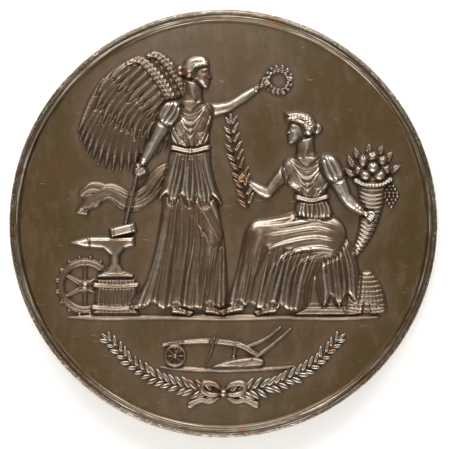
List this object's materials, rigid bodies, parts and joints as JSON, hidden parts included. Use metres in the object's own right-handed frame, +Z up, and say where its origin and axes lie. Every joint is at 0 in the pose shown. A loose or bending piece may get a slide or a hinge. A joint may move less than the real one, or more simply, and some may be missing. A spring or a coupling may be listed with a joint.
{
  "type": "bronze table medal",
  "caption": "Round struck bronze medal with a raised rim and a high-relief allegorical scene on its face, flat and plain on its back.",
  "frame": {"origin": "centre of the back rim's plane, on the medal's axis: the middle of the surface that it rests on", "axes": "+Z up out of the front face, +Y towards the top of the scene, +X to the right of the scene"},
  "size_m": [0.064, 0.064, 0.0062],
  "materials": {
    "bronze": "dark brown patinated bronze, satin, rubbed pale on the high points of the relief and the rim"
  },
  "bodies": {
    "root": {"medal": "bronze"}
  },
  "joints": []
}
